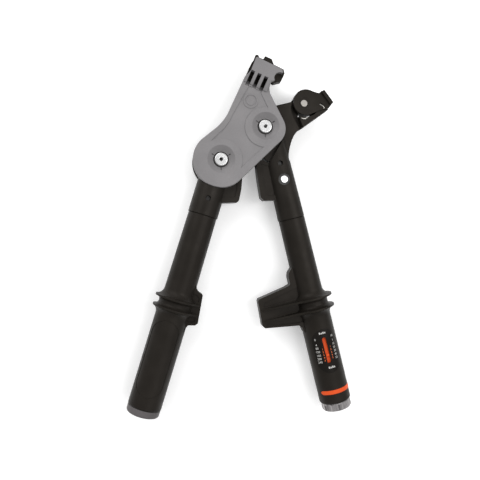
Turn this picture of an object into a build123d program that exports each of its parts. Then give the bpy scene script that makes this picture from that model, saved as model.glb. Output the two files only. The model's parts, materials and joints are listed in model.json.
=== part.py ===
from build123d import *
from math import cos, radians, sin
import os

# Two-handled wire tensioning tool, lying on its back.
# All shapes are drawn about the main pivot: X to the right, Y up the tool, Z out of its front face.
# The last step moves everything so that the origin is the bottom centre of the whole tool.
# Each handle also has its own frame: local X across it, local Y out of the front, local Z down it.

# Driving dimensions: millimetres, and degrees for angles.
LEFT_BOLT = (-52.4, -39.8)
LEFT_AXIS_START = (-53.5, -39.0)
LEFT_LEAN = -16.9
RIGHT_AXIS_START = (6.7, 1.7)
RIGHT_LEAN = 13.9

LEVER_HALF = 8.0
PLATE_INNER = 8.4
COVER_FRONT = 16.5
PANEL_DEPTH = 0.9
NOSE_FRONT = 24.5
NOSE_CORE_FRONT = 18.0
NOSE_CORNER = (-12.2, 78.0)
NOSE_ANGLE = -23.7
REAR_PLATE_BACK = -17.0

SHANK_R = 5.0
BOLT_HEAD_R = 7.7
WASHER_R = 9.2
REAR_WASHER_R = 10.2
NUT_ACROSS = 16.0
NUT_BACK = -26.0
SLEEVE_R = 8.0
BUSH_R = 10.5
RUNNING = 0.05

WIRE_EXIT = (4.6, 80.5)
WIRE_LEAN = 29.0
WIRE_BORE_R = 2.6
GUIDE_R = 4.4
GUIDE_LENGTH = 18.0
LIP_AT = (15.1, 55.6)

TUBE_R = 13.0
TUBE_BORE_R = 11.0
SLIDING_R = 10.92
FLANGE_R = 26.0

LEFT_SOCKET_R = 18.0
LEFT_TUBE = (36.0, 292.5)
LEFT_TUBE_PIN_AT = 48.7
LEFT_SHELL = {"top": 68.4, "top_r": 17.2, "low_r": 18.2, "flanges": (172.4, 184.3), "grip_r": 20.0, "end": 303.6}
LEFT_OVAL = (243.2, 91.4, 31.0)

RIGHT_SOCKET_R = (15.2, 16.6)
RIGHT_TUBE = (79.0, 333.0)
RIGHT_SHELL = {"top": 113.1, "top_r": 15.8, "low_r": 16.5, "flanges": (211.7, 225.1), "grip_r": 19.0, "end": 340.1}

TRIP_PIVOT_AT = 65.9
TRIP_PIN_R = 4.5
STOP_PIN_AT = 46.3
STOP_PIN_R = 3.0
STOP_PLAY = 1.15
SLOT_HALF = 6.9
MOUTH_STEP_AT = 41.0
TAIL_HALF_THICK = 5.5
TAIL_END_AT = 98.0
TAIL_HALF = 5.5
NOTCH_DEPTH = 4.5
ROLLER_R = 3.5
ROLLER_GAP = 0.15

PLUNGER_END_AT = 118.0
SPRING_TURNS = 15
SPRING_R = 8.9
SPRING_WIRE_R = 1.6
SEAT_NUT = (270.0, 290.0)
SCREW_R = 4.0
SCREW = (140.0, 348.6)
BEARING = (322.0, 329.0)
POINTER_AT = 280.7
STRIP_HALF = 28.0
WINDOW = (259.0, 290.5)
WINDOW_HALF = 2.4
TRACK = (233.0, 317.0)
TRACK_HALF = 3.6
TRACK_R = 16.6
SCALE_OVAL = (275.6, 54.0, 29.0)
SCALE_THICK = 0.6
BAND = (323.0, 327.8)
BAND_START = -14.3
KNOB = (340.4, 350.0)
KNOB_R = 17.6
KEY = (343.4, 345.9)

CAM_PIN = (48.0, 30.0)
CAM_PIN_R = 4.1
CAM_CENTRE = (50.4, 31.6)
CAM_DISC_R = 15.4
CAM_BACK = -2.3
CAM_FRONT = 7.6
CHEEK_FRONT = -2.6


# Small building blocks.

def polygon(*points):
    return make_face(Polyline(*points, close=True))


def rounded(radius, *points):
    face = polygon(*points)
    return fillet(face.vertices(), radius)


def slab(face, low, high):
    return Pos(0, 0, low) * extrude(face, amount=high - low)


def drum(radius, low, high, at=(0, 0)):
    return Pos(at[0], at[1], (low + high) / 2) * Cylinder(radius, high - low)


def ring(outer, inner, low, high, at=(0, 0)):
    return drum(outer, low, high, at) - drum(inner, low - 1, high + 1, at)


def cone(low_r, high_r, low, high, at=(0, 0)):
    return Pos(at[0], at[1], (low + high) / 2) * Cone(low_r, high_r, high - low)


def block(low, high):
    size = [high[i] - low[i] for i in range(3)]
    middle = [(high[i] + low[i]) / 2 for i in range(3)]
    return Pos(*middle) * Box(*size)


def hexagon(across, low, high, at=(0, 0)):
    face = Pos(at[0], at[1]) * RegularPolygon(across / 2, 6, major_radius=False)
    return slab(face, low, high)


def oval(length, width):
    """Stadium with its long side along Y."""
    return Rot(0, 0, 90) * SlotOverall(length, width)


def web(face, half):
    """A flat plate in a handle's own plane; the face is drawn as (across, down)."""
    return extrude(Plane.XZ * face, amount=half, both=True)


def from_front(face, low, high):
    """A prism seen from a handle's front, between two heights above the handle's axis."""
    return Pos(0, low, 0) * extrude(Plane.XZ * face, amount=-(high - low))


def cross_pin(radius, station, low, high):
    """A round pin that crosses a handle from back to front."""
    return Pos(0, (low + high) / 2, station) * Rot(90, 0, 0) * Cylinder(radius, high - low)


def circle_point(centre, radius, angle):
    return (centre[0] + radius * cos(radians(angle)), centre[1] + radius * sin(radians(angle)))


def handle_frame(start, lean):
    down = (sin(radians(lean)), -cos(radians(lean)), 0)
    over = (cos(radians(lean)), sin(radians(lean)), 0)
    return Plane(origin=(start[0], start[1], 0), x_dir=over, z_dir=down).location


LEFT = handle_frame(LEFT_AXIS_START, LEFT_LEAN)
RIGHT = handle_frame(RIGHT_AXIS_START, RIGHT_LEAN)
NOSE = Pos(*NOSE_CORNER) * Rot(0, 0, NOSE_ANGLE)
WIRE = Pos(*WIRE_EXIT) * Rot(0, 0, WIRE_LEAN)


# Left arm: rear plate, hub, handle socket, lug and nose core in one casting.

def cover_outline():
    return make_face([
        ThreePointArc((-72.2, -14.5), (-84.2, -50.0), (-54.9, -72.9)),
        ThreePointArc((-54.9, -72.9), (-41.5, -71.2), (-29.9, -63.6)),
        Line((-29.9, -63.6), (16.6, -18.9)),
        ThreePointArc((16.6, -18.9), (23.6, -6.0), (21.8, 6.5)),
        Line((21.8, 6.5), (6.4, 36.0)),
        ThreePointArc((6.4, 36.0), (4.6, 44.5), (6.2, 50.5)),
        Line((6.2, 50.5), (-20.6, 61.5)),
        Line((-20.6, 61.5), (-24.6, 57.8)),
        Line((-24.6, 57.8), (-42.0, 20.0)),
        ThreePointArc((-42.0, 20.0), (-50.3, 5.2), (-60.5, -5.0)),
        Line((-60.5, -5.0), (-72.2, -14.5)),
    ])


def nose_core():
    """Black core behind the grey nose, with a tab on top and a lobe on its right."""
    face = rounded(1.5, (1.0, 3.0), (8.6, 3.0), (8.6, 7.6), (17.5, 7.6), (22.0, 3.0), (35.0, 2.8),
                   (38.0, -1.4), (37.8, -11.5), (30.8, -17.0), (26.2, -16.0), (22.0, -34.0),
                   (0.0, -34.0), (-2.8, -20.0), (-2.4, -6.0))
    lip = ring(5.8, 4.4, NOSE_CORE_FRONT - 0.5, NOSE_CORE_FRONT + 1.2, LIP_AT)
    lip &= NOSE * slab(face, 0, NOSE_FRONT)
    core = NOSE * slab(face, REAR_PLATE_BACK, NOSE_CORE_FRONT)
    core -= block((-60, -60, -PLATE_INNER), (60, 38.5, NOSE_CORE_FRONT + 1))
    core -= slab(cover_outline(), PLATE_INNER, COVER_FRONT + 10)
    core -= NOSE * block((-5, -40, COVER_FRONT - 6), (24, -15.0, NOSE_CORE_FRONT + 1))
    core -= NOSE * block((24, -25, REAR_PLATE_BACK - 1), (45, -4, PLATE_INNER))
    core += NOSE * drum(2.3, REAR_PLATE_BACK, NOSE_FRONT - 2.0, (0.4, 0.9))
    return core + lip - nose_block()


def left_arm_casting():
    arm = slab(cover_outline(), REAR_PLATE_BACK, -PLATE_INNER)
    arm = fillet(arm.faces().sort_by(Axis.Z)[0].edges(), 1.5)
    arm += drum(28.0, -PLATE_INNER - 1, PLATE_INNER, LEFT_BOLT)
    socket = drum(LEFT_SOCKET_R, 8.0, LEFT_SHELL["top"])
    socket += web(rounded(1.5, (10.0, 12.0), (31.5, 11.0), (34.6, 26.1), (35.9, 39.5), (34.4, 42.5),
                          (16.0, 49.0), (10.0, 49.0)), 7.8)
    pocket = rounded(1.5, (12.0, 16.0), (26.5, 16.0), (29.6, 27.0), (30.4, 38.0), (12.0, 43.5))
    socket -= from_front(pocket, 6.6, 9.0)
    socket -= from_front(pocket, -9.0, -6.6)
    arm += LEFT * socket
    cover_space = offset(cover_outline(), 0.3)
    arm -= slab(cover_space, PLATE_INNER, NOSE_FRONT)
    arm -= drum(SHANK_R + RUNNING, REAR_PLATE_BACK - 1, PLATE_INNER + 1, LEFT_BOLT)
    arm -= drum(SHANK_R + RUNNING, REAR_PLATE_BACK - 1, PLATE_INNER + 1)
    arm += nose_core()
    arm -= drum(REAR_WASHER_R + 0.4, NUT_BACK, REAR_PLATE_BACK, LEFT_BOLT)
    arm -= LEFT * drum(TUBE_R, LEFT_TUBE[0], LEFT_SHELL["top"] + 1)
    arm -= LEFT * cross_pin(STOP_PIN_R, LEFT_TUBE_PIN_AT, -30, 30)
    arm -= guide_path(GUIDE_R, GUIDE_LENGTH, 0)
    arm -= guide_path(WIRE_BORE_R + 0.6, GUIDE_LENGTH + 20, 8)
    return arm


def guide_path(radius, length, above):
    """A cylinder on the wire's line, whose top stands a given distance above the tab."""
    return WIRE * Pos(0, above - length / 2, 0) * Rot(90, 0, 0) * Cylinder(radius, length)


def wire_guide():
    guide = guide_path(GUIDE_R, GUIDE_LENGTH, 0)
    return guide - guide_path(WIRE_BORE_R, GUIDE_LENGTH + 2, 1)


# Front cover: one grey casting with a nose that slopes down in four ribs.

def nose_block():
    lobe_notch = Pos(34.6, -10.6) * Circle(6.6)
    face = rounded(1.2, (0.0, 0.0), (33.2, 0.0), (35.4, -3.0), (35.0, -12.0), (27.4, -18.0),
                   (27.0, -30.0), (-3.6, -30.0), (0.4, -17.0))
    face -= lobe_notch
    nose = slab(face, PLATE_INNER, NOSE_FRONT)
    slope = Plane.YZ * polygon((-17.0, NOSE_FRONT + 1), (-17.0, NOSE_FRONT), (-33.0, COVER_FRONT - 0.1),
                               (-40.0, COVER_FRONT - 0.1), (-40.0, NOSE_FRONT + 1))
    nose -= Pos(-10, 0, 0) * extrude(slope, amount=60)
    nose -= block((-20, -20, PLATE_INNER - 1), (60, 20, NOSE_CORE_FRONT))
    return NOSE * nose


def nose_slots():
    floor = Plane.YZ * polygon((-16.2, NOSE_FRONT + 1), (-16.2, PLATE_INNER - 1), (-25.5, PLATE_INNER - 1),
                               (-25.5, COVER_FRONT - 5.5), (-33.6, COVER_FRONT + 0.3), (-33.6, NOSE_FRONT + 1))
    slot = extrude(floor, amount=4.6)
    return [NOSE * Pos(start, 0, 0) * slot for start in (0.9, 9.3, 17.8)]


def bolt_recess(at):
    """Conical dish with a counterbore and three small radial nicks."""
    cut = cone(WASHER_R + 0.7, 16.4, COVER_FRONT - 4.6, COVER_FRONT + 0.01, at)
    cut += drum(WASHER_R + 0.1, COVER_FRONT - 6.3, COVER_FRONT - 4, at)
    cut += drum(SHANK_R + RUNNING, 0, COVER_FRONT, at)
    for angle in (30, 150, 270):
        spot = Pos(at[0], at[1], COVER_FRONT - 4.2) * Rot(0, 0, angle)
        cut += spot * Pos(WASHER_R + 2.0, 0, 0) * Box(5.2, 1.1, 3.0)
    return cut


def panel_outline():
    """Shallow panel between the two raised bolt rings."""
    return make_face([
        Line((-20.2, 46.5), (-40.3, 10.6)),
        ThreePointArc((-40.3, 10.6), (-46.8, -0.9), (-55.2, -9.6)),
        Line((-55.2, -9.6), (-64.4, -18.8)),
        ThreePointArc((-64.4, -18.8), circle_point(LEFT_BOLT, 24.3, 42), (-29.4, -50.0)),
        Line((-29.4, -50.0), (-2.2, -24.8)),
        ThreePointArc((-2.2, -24.8), (-24.6, -2.5), (2.6, 21.4)),
        Line((2.6, 21.4), (-6.8, 41.0)),
        Line((-6.8, 41.0), (-20.2, 46.5)),
    ])


def front_cover():
    cover = slab(cover_outline(), PLATE_INNER, COVER_FRONT)
    cover = fillet(cover.faces().sort_by(Axis.Z)[-1].edges(), 1.2)
    cover -= slab(panel_outline(), COVER_FRONT - PANEL_DEPTH, COVER_FRONT + 1)
    cover += ring(8.6, 7.0, COVER_FRONT - 1.2, COVER_FRONT - 0.2, (-17.9, 28.9))
    cover += drum(5.2, COVER_FRONT - 1.2, COVER_FRONT - 0.4, (-17.9, 28.9))
    cover += nose_block()
    for cut in nose_slots():
        cover -= cut
    for at in ((0, 0), LEFT_BOLT):
        cover -= bolt_recess(at)
    return cover


def bolt(at):
    """Pan head bolt with a small hexagon socket."""
    head = drum(BOLT_HEAD_R, COVER_FRONT - 5.3, COVER_FRONT - 1.6, at)
    head = fillet(head.faces().sort_by(Axis.Z)[-1].edges(), 1.0)
    head -= hexagon(4.0, COVER_FRONT - 4.4, COVER_FRONT, at)
    return head + drum(SHANK_R, NUT_BACK + 0.8, COVER_FRONT - 5.0, at)


def front_washer(at):
    return ring(WASHER_R, SHANK_R, COVER_FRONT - 6.3, COVER_FRONT - 5.3, at)


def rear_washer(at):
    return ring(REAR_WASHER_R, SHANK_R, REAR_PLATE_BACK - 1.4, REAR_PLATE_BACK, at)


def rear_nut(at):
    """Lock nut with a round collar at its free end."""
    nut = hexagon(NUT_ACROSS, REAR_PLATE_BACK - 6.6, REAR_PLATE_BACK - 1.4, at)
    nut += drum(NUT_ACROSS / 2 - 0.4, NUT_BACK, REAR_PLATE_BACK - 6.6, at)
    return nut - drum(SHANK_R, NUT_BACK - 1, REAR_PLATE_BACK, at)


# Handles: a steel tube inside a moulded shell with two flanges, a bracket and a grip.

def shell_body(size):
    """Moulded shell turned about the handle's axis."""
    first, second = size["flanges"]
    groove_r = size["grip_r"] + 0.4
    bore = TUBE_R
    edge = [
        Line((bore, size["top"]), (size["top_r"] - 0.8, size["top"])),
        Line((size["top_r"] - 0.8, size["top"]), (size["top_r"], size["top"] + 0.8)),
        Line((size["top_r"], size["top"] + 0.8), (size["low_r"], first - 10)),
        ThreePointArc((size["low_r"], first - 10), (size["low_r"] + 2.4, first - 3.8), (FLANGE_R, first - 1.0)),
        Line((FLANGE_R, first - 1.0), (FLANGE_R, first + 1.0)),
        ThreePointArc((FLANGE_R, first + 1.0), (groove_r + 1.4, first + 2.4), (groove_r, first + 4.8)),
        Line((groove_r, first + 4.8), (groove_r, second - 4.8)),
        ThreePointArc((groove_r, second - 4.8), (groove_r + 1.4, second - 2.4), (FLANGE_R, second - 1.0)),
        Line((FLANGE_R, second - 1.0), (FLANGE_R, second + 1.0)),
        ThreePointArc((FLANGE_R, second + 1.0), (size["grip_r"] + 2.0, second + 3.6), (size["grip_r"], second + 9)),
        Line((size["grip_r"], second + 9), (size["grip_r"], size["end"] - 2)),
        ThreePointArc((size["grip_r"], size["end"] - 2), (size["grip_r"] - 0.6, size["end"] - 0.6),
                      (size["grip_r"] - 2, size["end"])),
        Line((size["grip_r"] - 2, size["end"]), (bore, size["end"])),
        Line((bore, size["end"]), (bore, size["top"])),
    ]
    return revolve(Plane.XZ * make_face(edge), axis=Axis.Z)


def bracket_rib(station, side, reach):
    """A flange rib that runs out across the bracket and gets lower on the way."""
    face = polygon((0, FLANGE_R - 3), (side * 14, 21.0), (side * reach, 8.6), (side * reach, -8.6),
                   (side * 14, -21.0), (0, 3 - FLANGE_R))
    return Pos(0, 0, station - 1.2) * extrude(face, amount=2.4)


def handle_shell(size, side, bracket, pockets, reach):
    shell = shell_body(size)
    shell += web(bracket, 7.4)
    for pocket in pockets:
        shell -= from_front(pocket, 6.0, 9.0)
        shell -= from_front(pocket, -9.0, -6.0)
    for station in size["flanges"]:
        shell += bracket_rib(station, side, reach)
    return shell - drum(TUBE_R, size["top"] - 1, size["end"] + 1)


def shell_skin(radius, depth, face):
    """The outer skin of a grip inside an outline seen from the front."""
    skin = ring(radius + 1, radius - depth, 0, 400)
    return skin & from_front(face, 0, 40)


def left_handle_shell():
    bracket = rounded(1.6, (13.0, 141.0), (17.2, 150.6), (18.8, 154.2), (21.4, 156.6), (27.4, 158.8),
                      (31.4, 192.4), (29.2, 195.6), (21.0, 197.8), (19.6, 201.4), (19.0, 207.0), (13.0, 210.0))
    upper = rounded(1.4, (14.0, 160.0), (20.6, 160.6), (25.0, 164.0), (25.4, 169.0), (14.0, 169.6))
    lower = rounded(1.0, (14.0, 188.0), (27.2, 187.4), (27.6, 191.2), (25.6, 193.4), (14.0, 194.6))
    shell = handle_shell(LEFT_SHELL, 1, bracket, (upper, lower), 29.0)
    station, length, width = LEFT_OVAL
    outline = Pos(-2.0, station) * (oval(length, width) - oval(length - 1.4, width - 1.4))
    return shell - shell_skin(LEFT_SHELL["grip_r"], 0.35, outline)


def right_handle_shell():
    bracket = rounded(1.2, (-13.0, 168.0), (-16.8, 172.4), (-20.2, 175.8), (-21.6, 180.4), (-22.0, 190.0),
                      (-28.5, 191.8), (-63.0, 197.4), (-64.4, 200.0), (-66.2, 229.4), (-63.6, 232.8),
                      (-23.0, 240.2), (-20.2, 243.2), (-18.8, 250.0), (-13.0, 252.0))
    upper = rounded(1.6, (-14.0, 195.4), (-26.0, 196.8), (-57.6, 203.0), (-60.6, 208.6), (-14.0, 208.6))
    lower = rounded(0.8, (-14.0, 229.0), (-62.0, 228.4), (-61.2, 231.4), (-26.0, 236.6), (-14.0, 237.4))
    shell = handle_shell(RIGHT_SHELL, -1, bracket, (upper, lower), 62.6)
    shell -= block((-TRACK_HALF, 5, TRACK[0]), (TRACK_HALF, TRACK_R, TRACK[1]))
    window = Pos(0, sum(WINDOW) / 2) * oval(WINDOW[1] - WINDOW[0], 2 * WINDOW_HALF)
    shell -= from_front(window, 10, 30)
    shell -= shell_skin(RIGHT_SHELL["grip_r"], SCALE_THICK, scale_outline())
    shell -= band_sector() & ring(30, RIGHT_SHELL["grip_r"] - 0.8, *BAND)
    return shell


def scale_outline():
    station, length, width = SCALE_OVAL
    return Pos(0.4, station) * oval(length, width)


def scale_plate():
    """Thin curved plate let into the grip round the window."""
    plate = ring(RIGHT_SHELL["grip_r"], RIGHT_SHELL["grip_r"] - SCALE_THICK, 0, 400)
    plate = plate & from_front(scale_outline(), 0, 40)
    window = Pos(0, sum(WINDOW) / 2) * oval(WINDOW[1] - WINDOW[0], 2 * WINDOW_HALF)
    return plate - from_front(window, 10, 30)


def band_sector():
    """Band with a rounded start at the front left, that runs on round the right side."""
    width = BAND[1] - BAND[0]
    start = Pos(BAND_START / 2, sum(BAND) / 2) * SlotOverall(width - BAND_START, width)
    fan = polygon((0, 0), (0, 40), (30, 40), (60, -14))
    return slab(fan, *BAND) + from_front(start, 0, 40)


def orange_band():
    grip_r = RIGHT_SHELL["grip_r"]
    return band_sector() & ring(grip_r + 0.25, grip_r - 0.8, *BAND)


def left_tube():
    tube = ring(TUBE_R, TUBE_BORE_R, *LEFT_TUBE)
    return tube - cross_pin(STOP_PIN_R, LEFT_TUBE_PIN_AT, -20, 20)


def left_end_plug():
    grip_r = LEFT_SHELL["grip_r"]
    end = LEFT_SHELL["end"]
    cap = drum(grip_r - 0.4, end, end + 8.6)
    cap = fillet(cap.faces().sort_by(Axis.Z)[-1].edges(), 3.0)
    return cap + drum(TUBE_R - 0.1, end - 9.0, end + 1)


def right_tube():
    tube = ring(TUBE_R, TUBE_BORE_R, *RIGHT_TUBE)
    return tube - block((-3.2, 5, TRACK[0]), (3.2, 20, TRACK[1]))


# Right socket: a casting whose split mouth holds the lever's tail on the trip pivot.

def right_socket_casting():
    top_r, end_r = RIGHT_SOCKET_R
    end = RIGHT_SHELL["top"]
    socket = drum(top_r, 16, 45) + cone(top_r, end_r, 45, end)
    arch = polygon((-30, 120), (-30, 42), (-15.6, 42), (4.6, 22.0), (13.4, 16.0), (14.4, 120))
    socket = socket & from_front(arch, -20, 20)
    socket -= block((-20, -LEVER_HALF - 0.2, 10), (20, LEVER_HALF + 0.2, MOUTH_STEP_AT + 4))
    socket -= block((-20, -SLOT_HALF, 10), (20, SLOT_HALF, 60))
    socket -= block((-12.4, -SLOT_HALF, 59), (12.4, SLOT_HALF, 80))
    lug = rounded(1.2, (-18.3, 37.4), (-26.6, 36.0), (-29.3, 55.4), (-31.4, 80.4), (-28.6, 84.4),
                  (-10.8, 88.2), (-10.8, 42.5), (-13.9, 41.3))
    pocket = rounded(1.2, (-11.0, 46.0), (-16.0, 44.0), (-21.9, 40.7), (-23.9, 62.9), (-26.0, 79.4),
                     (-11.0, 82.2))
    plate = web(lug, 7.8) - from_front(pocket, 6.6, 9.0) - from_front(pocket, -9.0, -6.6)
    inside = block((-13.2, -SLOT_HALF, 40), (12.5, SLOT_HALF, 80))
    socket += plate - inside
    socket -= drum(TUBE_R, RIGHT_TUBE[0], end + 1)
    socket -= drum(TUBE_BORE_R, 70, end)
    socket -= cross_pin(TRIP_PIN_R, TRIP_PIVOT_AT, -30, 30)
    socket -= cross_pin(7.0, TRIP_PIVOT_AT, 13.6, 30)
    socket -= cross_pin(7.0, TRIP_PIVOT_AT, -30, -13.6)
    socket -= cross_pin(STOP_PIN_R, STOP_PIN_AT, -30, 30)
    socket = RIGHT * socket
    room = offset(cover_outline(), 0.8)
    for angle in (0, 4, 8, 12, 16):
        swept = Rot(0, 0, angle) * room
        socket -= slab(swept, LEVER_HALF + 0.1, 40)
        socket -= slab(swept, -40, -LEVER_HALF - 0.1)
    return socket.solids().sort_by(SortBy.VOLUME)[-1]


def trip_pivot_pin():
    pin = cross_pin(TRIP_PIN_R, TRIP_PIVOT_AT, -15.0, 15.0)
    return fillet(pin.edges().filter_by(GeomType.CIRCLE), 0.8)


# Jaw lever: a flat forging with the hub, the wire jaw, the rear cheek and ledge, and the notched tail.

def in_right_frame(across, down):
    over = RIGHT.x_axis.direction
    along = RIGHT.z_axis.direction
    return (RIGHT_AXIS_START[0] + across * over.X + down * along.X,
            RIGHT_AXIS_START[1] + across * over.Y + down * along.Y)


def lever_outline():
    """Hub and fixed jaw, down to where the tail enters the socket."""
    return make_face([
        ThreePointArc((-18.0, -10.4), (-19.0, 8.8), (-4.0, 20.6)),
        Line((-4.0, 20.6), (14.0, 26.4)),
        Line((14.0, 26.4), (32.6, 31.2)),
        ThreePointArc((32.6, 31.2), (32.3, 19.6), (36.4, 9.4)),
        Line((36.4, 9.4), (41.2, 0.6)),
        Line((41.2, 0.6), (40.4, -3.0)),
        ThreePointArc((40.4, -3.0), (35.8, -8.6), (33.1, -14.6)),
        ThreePointArc((33.1, -14.6), (30.6, -22.7), (29.1, -32.7)),
        Line((29.1, -32.7), in_right_frame(13.2, 40.5)),
        Line(in_right_frame(13.2, 40.5), in_right_frame(-12.0, 40.5)),
        Line(in_right_frame(-12.0, 40.5), in_right_frame(-16.2, 36.0)),
        Line(in_right_frame(-16.2, 36.0), (-18.0, -10.4)),
    ])


def cheek_outline():
    """Rear cheek that carries the cam pin and joins the ledge to the fixed jaw."""
    face = make_face([
        Line((30.0, 28.0), (36.5, 37.5)),
        ThreePointArc((36.5, 37.5), (49.0, 44.0), (61.0, 38.0)),
        Line((61.0, 38.0), (66.0, 28.0)),
        Line((66.0, 28.0), (80.6, 29.6)),
        Line((80.6, 29.6), (78.0, 23.6)),
        Line((78.0, 23.6), (47.0, 1.4)),
        Line((47.0, 1.4), (40.0, -2.4)),
        Line((40.0, -2.4), (30.0, 5.0)),
        Line((30.0, 5.0), (30.0, 28.0)),
    ])
    crescent = Pos(*CAM_CENTRE) * (Circle(CAM_DISC_R + 2.2) - Circle(CAM_DISC_R - 0.9))
    crescent &= polygon((42.4, 20.0), (42.4, 10.0), (58.0, 10.0), (58.0, 19.0))
    return face - crescent


def ledge_outline():
    """Wedge below the cam, with a concave seat along the cam's disc."""
    face = polygon((43.4, 10.6), (42.8, 18.0), (58.0, 22.0), (70.0, 26.0), (78.0, 23.6), (47.0, 1.4))
    return face - Pos(*CAM_CENTRE) * Circle(CAM_DISC_R + 2.2) - offset(cam_outline(), 0.4)


def jaw_lever():
    lever = slab(lever_outline(), -LEVER_HALF, LEVER_HALF)
    lever += slab(cheek_outline(), -LEVER_HALF, CHEEK_FRONT)
    lever += slab(ledge_outline(), -LEVER_HALF, LEVER_HALF - 0.8)
    mouth = block((-40, -20, MOUTH_STEP_AT), (40, -TAIL_HALF_THICK, 62))
    mouth += block((-40, TAIL_HALF_THICK, MOUTH_STEP_AT), (40, 20, 62))
    lever -= RIGHT * mouth
    tail = web(rounded(1.0, (-12.0, 34.0), (12.0, 34.0), (11.0, 44.0), (11.4, 57.0), (9.8, 62.0),
                       (TAIL_HALF + 0.6, 82.0), (TAIL_HALF, TAIL_END_AT), (-TAIL_HALF, TAIL_END_AT),
                       (-TAIL_HALF - 0.6, 82.0), (-9.8, 62.0), (-11.4, 57.0), (-11.0, 44.0)), TAIL_HALF_THICK)
    notch = polygon((-NOTCH_DEPTH - 1, TAIL_END_AT + 1), (0, TAIL_END_AT - NOTCH_DEPTH),
                    (NOTCH_DEPTH + 1, TAIL_END_AT + 1))
    tail -= web(notch, 20)
    lever += RIGHT * tail
    lever -= RIGHT * cross_pin(TRIP_PIN_R + RUNNING, TRIP_PIVOT_AT, -20, 20)
    lever -= RIGHT * cross_pin(STOP_PIN_R + STOP_PLAY, STOP_PIN_AT, -20, 20)
    lever -= drum(BUSH_R, -20, 20)
    lever -= drum(CAM_PIN_R + RUNNING, -20, 20, CAM_PIN)
    return lever


def circlip(radius, low, high, at):
    clip = ring(radius + 2.2, radius, low, high, at)
    gap = block((at[0] - 1.2, at[1] - radius - 4, low - 1), (at[0] + 1.2, at[1], high + 1))
    return clip - gap


# Wire cam, with its pin keyed to it, and the spring that swings it towards the fixed jaw.

def cam_outline():
    disc = Pos(*CAM_CENTRE) * Circle(CAM_DISC_R)
    arm = rounded(0.8, (50.0, 20.0), (55.0, 17.2), (69.6, 22.8), (77.8, 24.6), (80.9, 28.4),
                  (83.0, 31.7), (72.4, 46.0), (69.2, 45.6), (66.6, 43.0), (63.6, 43.4), (55.0, 46.0))
    return disc + arm


def wire_cam():
    cam = slab(cam_outline(), CAM_BACK, CAM_FRONT)
    grip_side = Pos(CAM_PIN[0], CAM_PIN[1]) * (Circle(30) - Circle(12.6))
    grip_side &= polygon((20.0, 30.8), (37.0, 34.8), CAM_PIN, (40.0, 10.0), (20.0, 10.0))
    cam -= slab(grip_side, CAM_BACK - 1, CAM_FRONT + 1)
    tab = polygon((68.9, 43.4), (71.6, 46.6), (83.6, 31.2), (80.2, 28.6))
    tab &= cam_outline()
    cam += slab(tab, CAM_FRONT - 1, CAM_FRONT + 3.4)
    cam -= slab(Pos(70.6, 28.4) * Rot(0, 0, -44) * SlotOverall(7.6, 1.6), CAM_BACK - 1, CAM_FRONT + 1)
    cam -= drum(7.0, CAM_FRONT - 0.5, CAM_FRONT + 1, CAM_PIN)
    return cam - drum(CAM_PIN_R, -20, 20, CAM_PIN)


def cam_pin():
    pin = drum(CAM_PIN_R, -14.0, CAM_FRONT + 0.5, CAM_PIN)
    return fillet(pin.edges().filter_by(GeomType.CIRCLE), 0.6)


def cam_spring():
    """Two flat turns and two legs of the torsion spring behind the cheek."""
    coil = ring(6.4, 5.0, -12.6, -9.8, CAM_PIN)
    leg = block((CAM_PIN[0] + 5.2, CAM_PIN[1] - 13.0, -11.2), (CAM_PIN[0] + 6.6, CAM_PIN[1] + 1, -9.8))
    peg = block((CAM_PIN[0] + 5.2, CAM_PIN[1] - 13.0, -11.2),
                (CAM_PIN[0] + 6.6, CAM_PIN[1] - 11.6, -LEVER_HALF))
    return coil + leg + peg


# Torque limiter inside the right handle.

def notch_apex():
    return TAIL_END_AT - NOTCH_DEPTH


def roller_centre():
    """Station of the roller, which sits in the square notch with a little play."""
    return notch_apex() + (ROLLER_R + ROLLER_GAP) / sin(radians(45))


def plunger():
    middle = roller_centre()
    body = drum(SLIDING_R, middle + ROLLER_R - 2.2, PLUNGER_END_AT)
    for side in (-1, 1):
        ear = block((-3.6, 6.3, middle - 3.6), (3.6, 9.6, middle + ROLLER_R))
        body += ear if side > 0 else mirror(ear, about=Plane.XZ)
    body -= cross_pin(ROLLER_R + 0.2, middle, -6.1, 6.1)
    return body - cross_pin(1.6, middle, -12, 12)


def trip_roller():
    roller = cross_pin(ROLLER_R, roller_centre(), -5.8, 5.8)
    return roller - cross_pin(1.6, roller_centre(), -12, 12)


def tension_spring():
    """Compression spring round the screw, a swept helix with both ends clear of their seats."""
    start = PLUNGER_END_AT + 0.2 + SPRING_WIRE_R
    length = SEAT_NUT[0] - 0.2 - SPRING_WIRE_R - start
    path = Helix(length / SPRING_TURNS, length, SPRING_R)
    wire = sweep(Plane(path @ 0, z_dir=path % 0) * Circle(SPRING_WIRE_R), path=path)
    return Pos(0, 0, start) * wire


def spring_seat_nut():
    nut = drum(SLIDING_R, *SEAT_NUT) - drum(SCREW_R + 0.06, 200, 320)
    return nut - block((-2.6, 8.0, POINTER_AT - 6), (2.6, 20, POINTER_AT + 6))


def setting_indicator():
    """Orange strip under the window, with a pointer ridge and a foot in the seat nut."""
    strip = block((-3.1, 13.4, POINTER_AT - STRIP_HALF), (3.1, 16.2, POINTER_AT + STRIP_HALF))
    ridge = block((-2.0, 16, POINTER_AT - 1.1), (2.0, 18.5, POINTER_AT + 1.1))
    foot = block((-2.6, 8.0, POINTER_AT - 6), (2.6, 14, POINTER_AT + 6))
    return strip + ridge + foot


def lead_screw():
    screw = drum(SCREW_R, *SCREW) + drum(8.0, BEARING[0] - 4.4, BEARING[0] - 0.2)
    return screw - block((-1.25, -20, KEY[0]), (1.25, 20, KEY[1]))


def screw_bearing():
    return drum(TUBE_BORE_R, *BEARING) - drum(SCREW_R + RUNNING, 300, 350)


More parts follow.
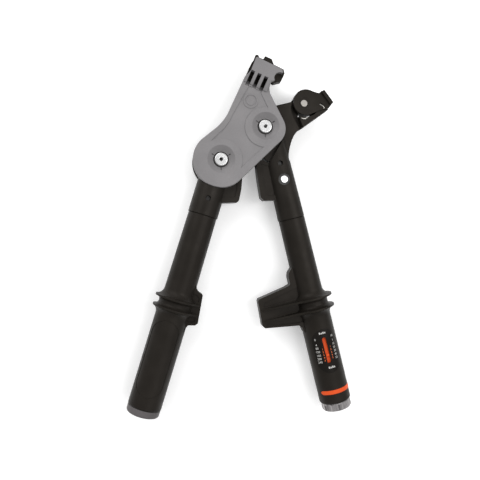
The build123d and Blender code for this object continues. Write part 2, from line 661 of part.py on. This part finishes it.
def adjuster_knob():
    """Bright knob with twelve shallow flutes and a socket for a key in its end."""
    knob = drum(KNOB_R, *KNOB)
    knob = fillet(knob.faces().sort_by(Axis.Z)[-1].edges(), 2.4)
    for turn in range(12):
        flute = Rot(0, 0, 30 * turn) * Pos(KNOB_R + 2.6, 0, (KNOB[0] + KNOB[1]) / 2 + 1.6)
        knob -= flute * Cylinder(3.6, KNOB[1] - KNOB[0])
    knob -= hexagon(9.0, KNOB[1] - 1.4, KNOB[1] + 1)
    knob -= drum(SCREW_R, 300, SCREW[1])
    return knob - block((-1.25, -9.0, KEY[0]), (1.25, 9.0, KEY[1]))


def knob_key():
    return block((-1.25, -9.0, KEY[0]), (1.25, 9.0, KEY[1]))


def thrust_washer():
    return ring(9.0, SCREW_R, BEARING[1] + 0.2, BEARING[1] + 1.6)


def model():
    """Every piece by name, about the main pivot."""
    bolts = ((0, 0), LEFT_BOLT)
    pieces = {
        "left_arm_casting": left_arm_casting(),
        "front_cover": front_cover(),
        "wire_guide": wire_guide(),
        "main_pivot_bolt": bolt((0, 0)),
        "left_fixing_bolt": bolt(LEFT_BOLT),
        "front_washers": Compound(children=[front_washer(at) for at in bolts]),
        "rear_washers": Compound(children=[rear_washer(at) for at in bolts]),
        "rear_nuts": Compound(children=[rear_nut(at) for at in bolts]),
        "pivot_sleeve": ring(SLEEVE_R, SHANK_R + RUNNING, -PLATE_INNER, PLATE_INNER),
        "left_tube": LEFT * left_tube(),
        "left_tube_pin": LEFT * cross_pin(STOP_PIN_R, LEFT_TUBE_PIN_AT, -14.0, 14.0),
        "left_handle_shell": LEFT * left_handle_shell(),
        "left_end_plug": LEFT * left_end_plug(),
        "jaw_lever": jaw_lever(),
        "pivot_bush": ring(BUSH_R, SLEEVE_R + RUNNING, -LEVER_HALF, LEVER_HALF),
        "cam_pin_circlip": circlip(CAM_PIN_R, -9.4, -8.2, CAM_PIN),
        "cam_spring": cam_spring(),
        "wire_cam": wire_cam(),
        "cam_pin": cam_pin(),
        "right_socket_casting": right_socket_casting(),
        "trip_pivot_pin": RIGHT * trip_pivot_pin(),
        "trip_stop_pin": RIGHT * cross_pin(STOP_PIN_R, STOP_PIN_AT, -11.0, 11.0),
        "right_tube": RIGHT * right_tube(),
        "right_handle_shell": RIGHT * right_handle_shell(),
        "scale_plate": RIGHT * scale_plate(),
        "orange_band": RIGHT * orange_band(),
        "screw_bearing": RIGHT * screw_bearing(),
        "tension_spring": RIGHT * tension_spring(),
        "trip_plunger": RIGHT * plunger(),
        "trip_roller": RIGHT * trip_roller(),
        "roller_pin": RIGHT * cross_pin(1.6, roller_centre(), -9.4, 9.4),
        "lead_screw": RIGHT * lead_screw(),
        "thrust_washer": RIGHT * thrust_washer(),
        "adjuster_knob": RIGHT * adjuster_knob(),
        "knob_key": RIGHT * knob_key(),
        "spring_seat_nut": RIGHT * spring_seat_nut(),
        "setting_indicator": RIGHT * setting_indicator(),
    }
    return pieces


PIECES = model()
BOXES = [piece.bounding_box() for piece in PIECES.values()]
LOW = [min(tuple(box.min)[i] for box in BOXES) for i in range(3)]
HIGH = [max(tuple(box.max)[i] for box in BOXES) for i in range(3)]
TO_BASE = Pos(-(LOW[0] + HIGH[0]) / 2, -(LOW[1] + HIGH[1]) / 2, -LOW[2])

os.makedirs("parts", exist_ok=True)
for name, piece in PIECES.items():
    export_step(TO_BASE * piece, f"parts/{name}.step")
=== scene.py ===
import json
from math import atan2, cos, pi, radians, sin, tan

import bpy
from mathutils import Matrix, Vector


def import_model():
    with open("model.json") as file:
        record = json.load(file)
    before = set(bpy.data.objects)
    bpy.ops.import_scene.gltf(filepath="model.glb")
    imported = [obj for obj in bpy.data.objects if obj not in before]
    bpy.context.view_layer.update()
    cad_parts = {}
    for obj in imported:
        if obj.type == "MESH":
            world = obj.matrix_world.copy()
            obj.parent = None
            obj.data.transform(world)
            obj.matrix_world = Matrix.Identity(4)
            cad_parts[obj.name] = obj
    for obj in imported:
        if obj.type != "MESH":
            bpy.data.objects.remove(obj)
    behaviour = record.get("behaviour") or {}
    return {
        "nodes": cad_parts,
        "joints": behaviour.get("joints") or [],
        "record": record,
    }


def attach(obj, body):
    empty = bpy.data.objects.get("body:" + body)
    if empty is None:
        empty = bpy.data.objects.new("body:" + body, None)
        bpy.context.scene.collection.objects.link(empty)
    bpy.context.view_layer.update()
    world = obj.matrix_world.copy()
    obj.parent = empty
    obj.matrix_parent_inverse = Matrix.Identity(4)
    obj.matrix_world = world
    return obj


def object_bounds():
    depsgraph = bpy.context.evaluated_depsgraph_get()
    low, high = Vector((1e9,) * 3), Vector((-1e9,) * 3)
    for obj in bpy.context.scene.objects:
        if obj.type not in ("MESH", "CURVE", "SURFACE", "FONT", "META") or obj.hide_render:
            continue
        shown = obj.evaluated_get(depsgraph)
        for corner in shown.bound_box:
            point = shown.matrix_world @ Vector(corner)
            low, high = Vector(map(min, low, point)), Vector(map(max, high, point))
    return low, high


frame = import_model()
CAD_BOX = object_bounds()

MM = 0.001
JOINTS = {joint["name"]: joint for joint in frame["joints"]}
PIVOT = Vector(JOINTS["jaw_pivot"]["pos_m"])
RIGHT_START = Vector(JOINTS["adjuster_turn"]["pos_m"])
RIGHT_DOWN = Vector(JOINTS["adjuster_turn"]["axis"]).normalized()
UP = Vector((0, 0, 1))


# Materials. Every texture is in object space, so it stays with its piece when the tool moves.

class Nodes:
    """A material's node tree, with short calls to add and link its nodes."""

    def __init__(self, name):
        self.material = bpy.data.materials.new(name)
        self.material.use_nodes = True
        self.tree = self.material.node_tree
        self.shader = self.tree.nodes["Principled BSDF"]
        self.place = self.add("ShaderNodeTexCoord").outputs["Object"]

    def add(self, kind, **settings):
        node = self.tree.nodes.new(kind)
        for key, value in settings.items():
            setattr(node, key, value)
        return node

    def link(self, source, target):
        self.tree.links.new(source, target)

    def noise(self, scale, detail=3.0, roughness=0.5, stretch=None):
        """Noise, drawn out along one direction if stretch gives (rotation, how long each way)."""
        node = self.add("ShaderNodeTexNoise")
        node.inputs["Scale"].default_value = scale
        node.inputs["Detail"].default_value = detail
        node.inputs["Roughness"].default_value = roughness
        place = self.place
        if stretch:
            turn = self.add("ShaderNodeMapping", vector_type="TEXTURE")
            turn.inputs["Rotation"].default_value = stretch[0]
            turn.inputs["Scale"].default_value = stretch[1]
            self.link(self.place, turn.inputs["Vector"])
            place = turn.outputs["Vector"]
        self.link(place, node.inputs["Vector"])
        return node.outputs["Fac"]

    def ramp(self, factor, low, high, low_colour, high_colour):
        node = self.add("ShaderNodeValToRGB")
        ends = node.color_ramp.elements
        ends[0].position = low
        ends[1].position = high
        ends[0].color = (*low_colour, 1)
        ends[1].color = (*high_colour, 1)
        self.link(factor, node.inputs["Fac"])
        return node.outputs["Color"]

    def span(self, factor, low, high, to_low, to_high):
        node = self.add("ShaderNodeMapRange")
        for key, value in zip(("From Min", "From Max", "To Min", "To Max"), (low, high, to_low, to_high)):
            node.inputs[key].default_value = value
        self.link(factor, node.inputs["Value"])
        return node.outputs["Result"]

    def mix(self, factor, first, second):
        node = self.add("ShaderNodeMix", data_type="RGBA")
        self.link(factor, node.inputs["Factor"])
        self.link(first, node.inputs[6])
        node.inputs[7].default_value = (*second, 1)
        return node.outputs[2]

    def edges(self, width):
        """1 on the sharp edges and 0 away from them, with the rounded normal for the bump."""
        bevel = self.add("ShaderNodeBevel", samples=6)
        bevel.inputs["Radius"].default_value = width
        plain = self.add("ShaderNodeNewGeometry")
        dot = self.add("ShaderNodeVectorMath", operation="DOT_PRODUCT")
        self.link(bevel.outputs["Normal"], dot.inputs[0])
        self.link(plain.outputs["Normal"], dot.inputs[1])
        return self.span(dot.outputs["Value"], 0.995, 0.8, 0.0, 1.0), bevel.outputs["Normal"]

    def bump(self, height, distance, strength, normal=None):
        node = self.add("ShaderNodeBump")
        node.inputs["Distance"].default_value = distance
        node.inputs["Strength"].default_value = strength
        self.link(height, node.inputs["Height"])
        if normal:
            self.link(normal, node.inputs["Normal"])
        return node.outputs["Normal"]

    def colour(self, source):
        self.link(source, self.shader.inputs["Base Color"])

    def rough(self, source):
        self.link(source, self.shader.inputs["Roughness"])

    def normal(self, source):
        self.link(source, self.shader.inputs["Normal"])

    def set(self, **values):
        for key, value in values.items():
            self.shader.inputs[key.replace("_", " ")].default_value = value


def coated(name, dark, light, worn, roughness, grain, index=1.22, wear=0.35, edge=0.5 * MM):
    """A satin coat over metal or moulded plastic: mottled, fine grained, and rubbed along its edges."""
    n = Nodes(name)
    cloud = n.noise(38.0, 4.0)
    colour = n.ramp(cloud, 0.3, 0.7, dark, light)
    mask, soft = n.edges(edge)
    rub = n.add("ShaderNodeMath", operation="MULTIPLY")
    n.link(mask, rub.inputs[0])
    n.link(n.span(n.noise(260.0, 5.0, 0.7), 0.42, 0.7, 0.0, wear), rub.inputs[1])
    n.colour(n.mix(rub.outputs["Value"], colour, worn))
    n.rough(n.span(n.noise(120.0, 4.0), 0.3, 0.7, roughness - 0.06, roughness + 0.07))
    coarse = n.bump(n.noise(grain * 0.35, 2.0), 0.12 * MM, 0.22, soft)
    n.normal(n.bump(n.noise(grain, 3.0, 0.6), 0.05 * MM, 0.5, coarse))
    n.set(IOR=index, Specular_Tint=(1.0, 0.92, 0.84, 1))
    return n.material


def cast_grey():
    """Bead-blasted casting: a fine even grain, faint clouds, and slightly brighter edges."""
    n = Nodes("cast_grey")
    cloud = n.ramp(n.noise(26.0, 5.0), 0.3, 0.7, (0.180, 0.173, 0.176), (0.224, 0.215, 0.218))
    speck = n.ramp(n.noise(2600.0, 2.0, 0.7), 0.35, 0.65, (0.136, 0.131, 0.134), (0.268, 0.260, 0.263))
    blend = n.add("ShaderNodeMix", data_type="RGBA")
    blend.inputs["Factor"].default_value = 0.30
    n.link(cloud, blend.inputs[6])
    n.link(speck, blend.inputs[7])
    mask, soft = n.edges(0.45 * MM)
    n.colour(n.mix(n.span(mask, 0.0, 1.0, 0.0, 0.35), blend.outputs[2], (0.33, 0.325, 0.33)))
    n.rough(n.span(n.noise(300.0, 3.0), 0.3, 0.7, 0.48, 0.60))
    coarse = n.bump(n.noise(420.0, 3.0), 0.08 * MM, 0.25, soft)
    n.normal(n.bump(n.noise(2400.0, 2.0, 0.7), 0.03 * MM, 0.5, coarse))
    n.set(Metallic=0.2, Specular_IOR_Level=0.35)
    return n.material


def machined(name, colour, roughness, streaks=900.0, turn=(0, 0, 0), stretch=(1, 1, 25), metallic=1.0,
             dark=0.82):
    """Bare metal with fine tool marks, slightly uneven in tone."""
    n = Nodes(name)
    marks = n.noise(streaks, 3.0, 0.6, (turn, stretch))
    tone = [tuple(c * k for c in colour) for k in (dark, 1.0)]
    n.colour(n.ramp(marks, 0.3, 0.7, *tone))
    smudge = n.noise(90.0, 4.0)
    n.rough(n.span(smudge, 0.3, 0.7, roughness - 0.05, roughness + 0.08))
    soft = n.edges(0.3 * MM)[1]
    n.normal(n.bump(marks, 0.02 * MM, 0.35, soft))
    n.set(Metallic=metallic)
    return n.material


def printed(name, colour):
    """Matt screen print, a little uneven."""
    n = Nodes(name)
    shades = [tuple(c * k for c in colour) for k in (0.86, 1.0)]
    n.colour(n.ramp(n.noise(1500.0, 2.0), 0.35, 0.65, *shades))
    n.rough(n.span(n.noise(500.0), 0.3, 0.7, 0.45, 0.6))
    n.normal(n.bump(n.noise(1800.0), 0.01 * MM, 0.3))
    return n.material


ALONG_RIGHT = (0, 0, atan2(RIGHT_DOWN.x, -RIGHT_DOWN.y))
MATERIALS = {
    "cover_grey": cast_grey(),
    "casting_black": coated("casting_black", (0.0115, 0.0100, 0.0084), (0.0185, 0.0163, 0.0140),
                            (0.055, 0.050, 0.046), 0.40, 900.0, wear=0.45),
    "forging_black": coated("forging_black", (0.0120, 0.0104, 0.0088), (0.0210, 0.0186, 0.0160),
                            (0.075, 0.068, 0.062), 0.36, 650.0, wear=0.6),
    "handle_black": coated("handle_black", (0.0110, 0.0094, 0.0078), (0.0165, 0.0142, 0.0120),
                           (0.026, 0.023, 0.021), 0.42, 1500.0, wear=0.3),
    "bright_steel": machined("bright_steel", (0.76, 0.76, 0.76), 0.30),
    "dark_steel": machined("dark_steel", (0.030, 0.028, 0.027), 0.42, metallic=0.5),
    "knob_bright": machined("knob_bright", (0.44, 0.42, 0.42), 0.36, 330.0, ALONG_RIGHT, (1, 30, 1),
                            dark=0.22),
    "plug_grey": coated("plug_grey", (0.088, 0.082, 0.083), (0.118, 0.110, 0.112), (0.17, 0.165, 0.168),
                        0.42, 1200.0),
    "marker_orange": coated("marker_orange", (0.64, 0.072, 0.016), (0.75, 0.098, 0.023), (0.88, 0.24, 0.10),
                            0.42, 1400.0),
    "scale_black": coated("scale_black", (0.0062, 0.0054, 0.0048), (0.0095, 0.0083, 0.0075),
                          (0.028, 0.026, 0.024), 0.34, 2200.0),
    "bearing_bronze": machined("bearing_bronze", (0.55, 0.36, 0.17), 0.34),
}
for entry in frame["record"]["subparts"]:
    data = frame["nodes"][entry["node"]].data
    data.materials.clear()
    data.materials.append(MATERIALS[entry["material_slot"]])
# The cam's pin is duller than the other bright steel.
frame["nodes"]["cam_pin"].data.materials[0] = machined("dull_steel", (0.42, 0.40, 0.37), 0.40)


# Edges. A cast, moulded or machined edge is never sharp, so each CAD node's edges are rounded.

WELD_DISTANCE = 0.002 * MM
FLAT_ANGLE = radians(0.6)
EDGE_ROUNDING = 0.4 * MM
EDGE_ANGLE = radians(28.0)


def soften(node):
    """Rounds a node's sharp edges, after its flat faces are joined."""
    piece = frame["nodes"][node]
    weld = piece.modifiers.new("weld", "WELD")
    weld.merge_threshold = WELD_DISTANCE
    flat = piece.modifiers.new("flat", "DECIMATE")
    flat.decimate_type = "DISSOLVE"
    flat.angle_limit = FLAT_ANGLE
    edge = piece.modifiers.new("edge", "BEVEL")
    edge.width = EDGE_ROUNDING
    edge.segments = 2
    edge.limit_method = "ANGLE"
    edge.angle_limit = EDGE_ANGLE
    edge.harden_normals = False
    edge.use_clamp_overlap = True
    smooth = piece.modifiers.new("normals", "WEIGHTED_NORMAL")
    smooth.keep_sharp = False
    piece.data.shade_smooth()


for entry in frame["record"]["subparts"]:
    soften(entry["node"])


# Small details over the CAD: painted shade in recesses and painted highlights on edges. Places are in
# millimetres about the main pivot.
# Z is measured from the handles' plane.

LEFT_BOLT = (-52.4, -39.8)
TRIP_PIN = (22.53, -62.27)
SOCKET_FLOOR = 12.12
RECESS_FLOOR = 13.63
# Centre and radius of the painted highlight on the ledge's seat.
SEAT_GLINT_CENTRE = (47.6, 20.2)
SEAT_GLINT_R = 8.0
LEDGE_FRONT = 7.22
CAM_FRONT = 7.6
# Painted shade: a near-black material laid in the bolt sockets and round the trip pin, where those recesses
# fall into shade.
RECESS_SHADE = machined("painted_recess_shade", (0.012, 0.011, 0.010), 0.40, metallic=0.0)
# Bright metal for the painted highlights on the ledge's seat and in the cam's slot.
HIGHLIGHT_STEEL = machined("painted_highlight_steel", (0.62, 0.60, 0.56), 0.36)


def add_mesh(name, points, faces, material, body):
    mesh = bpy.data.meshes.new(name)
    mesh.from_pydata([PIVOT + Vector(p) * MM for p in points], [], faces)
    mesh.materials.append(material)
    piece = bpy.data.objects.new(name, mesh)
    bpy.context.scene.collection.objects.link(piece)
    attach(piece, body)


def round_points(centre, radius, z, count=32):
    turns = [2 * pi * i / count for i in range(count)]
    return [(centre[0] + radius * cos(t), centre[1] + radius * sin(t), z) for t in turns]


def socket_shade(name, centre):
    """Painted shade inside a bolt's key socket: a dark lining with a drill point in its floor."""
    rings = [round_points(centre, 1.9, SOCKET_FLOOR + 2.0), round_points(centre, 1.9, SOCKET_FLOOR + 0.1),
             round_points(centre, 1.75, SOCKET_FLOOR), round_points(centre, 0.6, SOCKET_FLOOR + 0.3)]
    points = [p for loop in rings for p in loop]
    count = len(rings[0])
    faces = []
    for k in range(len(rings) - 1):
        for i in range(count):
            j = (i + 1) % count
            faces.append((k * count + i, k * count + j, (k + 1) * count + j, (k + 1) * count + i))
    faces.append(tuple(range((len(rings) - 1) * count, len(rings) * count)))
    add_mesh(name, points, faces, RECESS_SHADE, "left_side")


def flat_ring(name, centre, inner, outer, z, material, body):
    count = 48
    points = round_points(centre, inner, z, count) + round_points(centre, outer, z + 0.02, count)
    faces = [(i, (i + 1) % count, count + (i + 1) % count, count + i) for i in range(count)]
    add_mesh(name, points, faces, material, body)


def highlight_crescent():
    """Painted highlight along the edge of the ledge's seat, widest in the middle: a bright metal strip
    where that edge glints.
    """
    count = 24
    first, last = radians(-116), radians(-50)
    inner, outer = [], []
    for i in range(count + 1):
        share = i / count
        turn = first + (last - first) * share
        wide = 0.12 + 0.85 * sin(pi * share)
        for loop, radius in ((inner, SEAT_GLINT_R), (outer, SEAT_GLINT_R + wide)):
            x = SEAT_GLINT_CENTRE[0] + radius * cos(turn)
            y = SEAT_GLINT_CENTRE[1] + radius * sin(turn)
            loop.append((x, y, LEDGE_FRONT))
    points = inner + outer
    faces = [(i, i + 1, count + 2 + i, count + 1 + i) for i in range(count)]
    add_mesh("ledge_painted_highlight", points, faces, HIGHLIGHT_STEEL, "jaw_lever")


# Path of the painted highlight in the cam's slot.
SLOT_HIGHLIGHT_PATH = ((67.4, 29.6, CAM_FRONT - 0.3), (70.2, 27.9, CAM_FRONT + 0.1), (72.2, 26.5, CAM_FRONT + 0.1),
        (72.7, 25.7, CAM_FRONT + 0.1), (72.2, 24.4, CAM_FRONT - 0.3))
SLOT_HIGHLIGHT_R = 0.55 * MM


def slot_highlight():
    """Painted highlight: a bright wire bent along the slot of the cam's arm, where the slot's edge glints.
    """
    curve = bpy.data.curves.new("cam_slot_highlight", "CURVE")
    curve.dimensions = "3D"
    curve.bevel_depth = SLOT_HIGHLIGHT_R
    curve.bevel_resolution = 3
    curve.use_fill_caps = True
    line = curve.splines.new("POLY")
    line.points.add(len(SLOT_HIGHLIGHT_PATH) - 1)
    for point, place in zip(line.points, SLOT_HIGHLIGHT_PATH):
        point.co = (*(PIVOT + Vector(place) * MM), 1)
    curve.materials.append(HIGHLIGHT_STEEL)
    piece = bpy.data.objects.new("cam_slot_highlight", curve)
    bpy.context.scene.collection.objects.link(piece)
    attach(piece, "wire_cam")


# Painted shade in the two bolts' key sockets.
socket_shade("main_bolt_socket_shade", (0.0, 0.0))
socket_shade("left_bolt_socket_shade", LEFT_BOLT)
# Painted shade: a dark ring on the recess floor round the trip pin.
flat_ring("trip_pin_recess_shade", TRIP_PIN, 4.6, 6.9, RECESS_FLOOR, RECESS_SHADE, "right_handle")
# Painted highlight along the ledge's seat.
highlight_crescent()
# Painted highlight in the cam's slot.
slot_highlight()


# Scale print: numerals and bars, set out flat and wrapped round the right grip. The text is generic.

GRIP_R = 19.0 * MM
PRINT_HEIGHT = 0.07 * MM
PRINT_WHITE = printed("print_white", (0.50, 0.49, 0.47))
PRINT_ORANGE = printed("print_orange", (0.80, 0.16, 0.035))


def wrap(name, points, faces, across, down, material):
    """Bends a flat drawing round the grip; across and down place its middle on the handle, in metres."""
    over = RIGHT_DOWN.cross(UP).normalized()
    bent = []
    for x, y in points:
        turn = (across + x) / GRIP_R
        out = GRIP_R + PRINT_HEIGHT
        place = RIGHT_START + RIGHT_DOWN * (down - y)
        bent.append(place + over * (out * -sin(turn)) + UP * (out * cos(turn)))
    mesh = bpy.data.meshes.new(name)
    mesh.from_pydata(bent, [], faces)
    mesh.materials.append(material)
    piece = bpy.data.objects.new(name, mesh)
    bpy.context.scene.collection.objects.link(piece)
    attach(piece, "right_handle")


def numeral(name, text, across, down, height, material):
    curve = bpy.data.curves.new(name, "FONT")
    curve.body = text
    curve.size = height / 0.7
    curve.align_x = "CENTER"
    curve.resolution_u = 3
    curve.offset = 0.02 * height
    holder = bpy.data.objects.new(name + "_flat", curve)
    bpy.context.scene.collection.objects.link(holder)
    shape = bpy.data.meshes.new_from_object(holder.evaluated_get(bpy.context.evaluated_depsgraph_get()))
    points = [(v.co.x, v.co.y - height / 2) for v in shape.vertices]
    faces = [tuple(f.vertices) for f in shape.polygons]
    bpy.data.objects.remove(holder)
    bpy.data.curves.remove(curve)
    wrap(name, points, faces, across, down, material)


def bars(name, widths, across, down, height):
    """A row of short blocks that stands where the real scale names its unit."""
    points, faces = [], []
    pitch = 2.1 * MM
    left = -pitch * (len(widths) - 1) / 2
    for i, width in enumerate(widths):
        middle = left + i * pitch
        start = len(points)
        tall = height * (0.72 if i % 2 else 1.0)
        points += [(middle - width / 2, -height / 2), (middle + width / 2, -height / 2),
                   (middle + width / 2, tall - height / 2), (middle - width / 2, tall - height / 2)]
        faces.append((start, start + 1, start + 2, start + 3))
    wrap(name, points, faces, across, down, PRINT_WHITE)


LEFT_ROWS = ((259.9, "0"), (266.4, "4"), (270.5, "80"), (274.8, "120"), (279.3, "160"), (283.4, "200"),
             (287.5, "240"))
RIGHT_ROWS = ((259.4, "10"), (264.8, "1"), (269.3, "15"), (273.6, "25"), (277.8, "35"), (282.0, "45"),
              (286.2, "55"))
ORANGE_LEFT = ((272.5, "1"), (275.9, "2"), (279.4, "3"), (282.8, "4"), (286.2, "5"))
ORANGE_RIGHT = ((271.4, "1"), (274.9, "2"), (278.4, "3"), (281.6, "4"), (284.8, "5"))

for side, column, rows, height, material in (
        ("left", -10.9, LEFT_ROWS, 2.5, PRINT_WHITE),
        ("right", 10.9, RIGHT_ROWS, 2.5, PRINT_WHITE),
        ("left_small", -4.6, ORANGE_LEFT, 1.9, PRINT_ORANGE),
        ("right_small", 5.4, ORANGE_RIGHT, 1.9, PRINT_ORANGE)):
    for row, (station, text) in enumerate(rows):
        numeral(f"scale_{side}_{row}", text, column * MM, station * MM, height * MM, material)
bars("scale_top_bars", [1.6 * MM] * 4, -0.6 * MM, 253.4 * MM, 2.4 * MM)
bars("scale_low_bars", [1.7 * MM] * 4, 1.4 * MM, 295.6 * MM, 2.4 * MM)


# Floor, lights and camera.

FLOOR_HALF = 6.0
FLOOR_GAP = 0.4 * MM


def floor():
    half = FLOOR_HALF
    z = CAD_BOX[0].z - FLOOR_GAP
    mesh = bpy.data.meshes.new("floor")
    corners = [(-half, -half, z), (half, -half, z), (half, half, z), (-half, half, z)]
    mesh.from_pydata(corners, [], [(0, 1, 2, 3)])
    piece = bpy.data.objects.new("floor", mesh)
    bpy.context.scene.collection.objects.link(piece)
    n = Nodes("floor_paper")
    n.colour(n.ramp(n.noise(6.0, 3.0), 0.3, 0.7, (0.90, 0.90, 0.90), (0.93, 0.93, 0.93)))
    n.rough(n.span(n.noise(40.0), 0.3, 0.7, 0.75, 0.85))
    n.set(Emission_Color=(1, 1, 1, 1), Emission_Strength=0.27)
    mesh.materials.append(n.material)


def area_light(name, place, target, size, power):
    light = bpy.data.lights.new(name, "AREA")
    light.shape = "RECTANGLE"
    light.size, light.size_y = size
    light.energy = power
    piece = bpy.data.objects.new(name, light)
    piece.location = place
    piece.rotation_euler = (Vector(target) - Vector(place)).to_track_quat("-Z", "Y").to_euler()
    bpy.context.scene.collection.objects.link(piece)


def world():
    """An even pale studio, a little brighter where the camera sees it directly."""
    sky = bpy.data.worlds.new("studio")
    bpy.context.scene.world = sky
    sky.use_nodes = True
    tree = sky.node_tree
    back = tree.nodes["Background"]
    back.inputs["Color"].default_value = (1, 1, 1, 1)
    seen = tree.nodes.new("ShaderNodeLightPath").outputs["Is Camera Ray"]
    level = tree.nodes.new("ShaderNodeMapRange")
    level.inputs["To Min"].default_value = 0.62
    level.inputs["To Max"].default_value = 0.97
    tree.links.new(seen, level.inputs["Value"])
    tree.links.new(level.outputs["Result"], back.inputs["Strength"])


CAMERA_FROM_PIVOT = Vector((-100.7, -134.2, 631.9)) * MM
CAMERA_LEAN = radians(6.5)
FIELD = radians(48.7)


def camera():
    data = bpy.data.cameras.new("camera")
    data.sensor_width = 36.0
    data.lens = 18.0 / tan(FIELD / 2)
    data.clip_start = 0.01
    data.clip_end = 30.0
    piece = bpy.data.objects.new("camera", data)
    piece.location = PIVOT + CAMERA_FROM_PIVOT
    away = Vector((sin(CAMERA_LEAN), 0, -cos(CAMERA_LEAN)))
    right = away.cross(Vector((0, 1, 0))).normalized()
    up = right.cross(away)
    piece.rotation_euler = Matrix((right, up, -away)).transposed().to_euler()
    bpy.context.scene.collection.objects.link(piece)
    bpy.context.scene.camera = piece


floor()
world()
middle = (CAD_BOX[0] + CAD_BOX[1]) / 2
area_light("key", (-0.60, 1.0, 1.0), middle, (1.5, 1.1), 12.5)
area_light("glow", (0.60, 0.10, 1.05), middle, (0.30, 0.9), 4.8)
area_light("fill", (0.5, -0.8, 1.2), middle, (0.8, 0.8), 2.0)
camera()

bpy.context.scene.view_settings.view_transform = "Standard"
